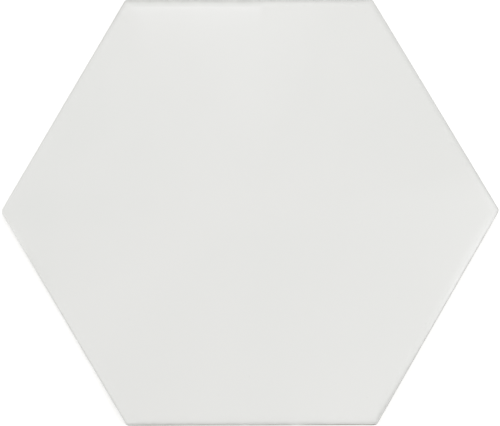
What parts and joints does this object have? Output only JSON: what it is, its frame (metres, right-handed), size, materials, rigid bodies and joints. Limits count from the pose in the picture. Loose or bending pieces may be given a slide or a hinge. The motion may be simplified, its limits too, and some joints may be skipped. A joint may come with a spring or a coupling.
{
  "type": "hexagonal floor tile",
  "caption": "Regular hexagonal ceramic floor tile with a satin white glaze, softly rolled edges and a honeycomb keyed back.",
  "frame": {"origin": "middle of the back, in the plane that the tile beds on", "axes": "+X towards one corner, +Y square to one side, +Z out of the glazed face"},
  "size_m": [0.2016, 0.175, 0.0085],
  "materials": {
    "glazed_body": "satin white glaze on the face and the upper edges, bare pale biscuit below"
  },
  "bodies": {
    "root": {"hexagon_tile": "glazed_body"}
  },
  "joints": []
}
